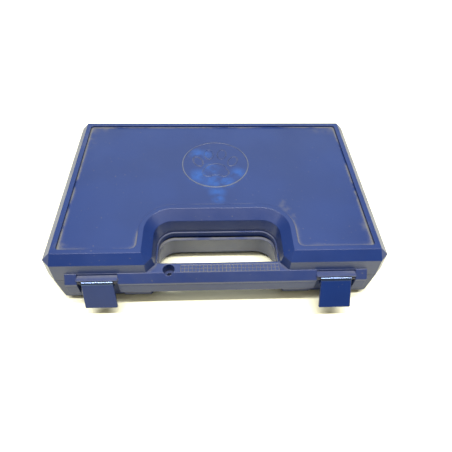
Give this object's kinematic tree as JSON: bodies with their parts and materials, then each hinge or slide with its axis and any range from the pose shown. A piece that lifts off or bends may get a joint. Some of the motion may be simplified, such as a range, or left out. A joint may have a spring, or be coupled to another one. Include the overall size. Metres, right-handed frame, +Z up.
{
  "type": "carry case",
  "caption": "Rigid moulded plastic carry case with a hand hole behind a carrying bar, two front snap latches, a rear pin hinge and foam lining.",
  "frame": {"origin": "middle of the flat face that the closed case rests on", "axes": "+Z up through the lid, +X along the case's length, handle and latches towards -Y, hinge towards +Y"},
  "size_m": [0.3174, 0.2378, 0.069],
  "materials": {
    "case_plastic": "fine-grained, slightly glossy, dusty in the corners",
    "latch_plastic": "smooth",
    "pin_steel": "blackened wire",
    "lining_foam": "open-cell egg-crate foam"
  },
  "bodies": {
    "root": {"base_shell": "case_plastic", "base_foam": "lining_foam", "hinge_pin_left": "pin_steel", "hinge_pin_right": "pin_steel"},
    "lid": {"lid_shell": "case_plastic", "lid_foam": "lining_foam", "latch_pin_left": "pin_steel", "latch_pin_right": "pin_steel"},
    "latch_left": {"latch_left": "latch_plastic"},
    "latch_right": {"latch_right": "latch_plastic"}
  },
  "joints": [
    {"name": "lid_hinge", "type": "hinge", "parent": "root", "child": "lid", "pos_m": [0, 0.1072, 0.0389], "axis": [-1, 0, 0], "range_deg": [0, 180]},
    {"name": "latch_left_hinge", "type": "hinge", "parent": "lid", "child": "latch_left", "pos_m": [-0.1108, -0.1086, 0.0414], "axis": [-1, 0, 0], "range_deg": [-19.4, 77.1]},
    {"name": "latch_right_hinge", "type": "hinge", "parent": "lid", "child": "latch_right", "pos_m": [0.1108, -0.1086, 0.0414], "axis": [-1, 0, 0], "range_deg": [-35.7, 60.8]}
  ]
}
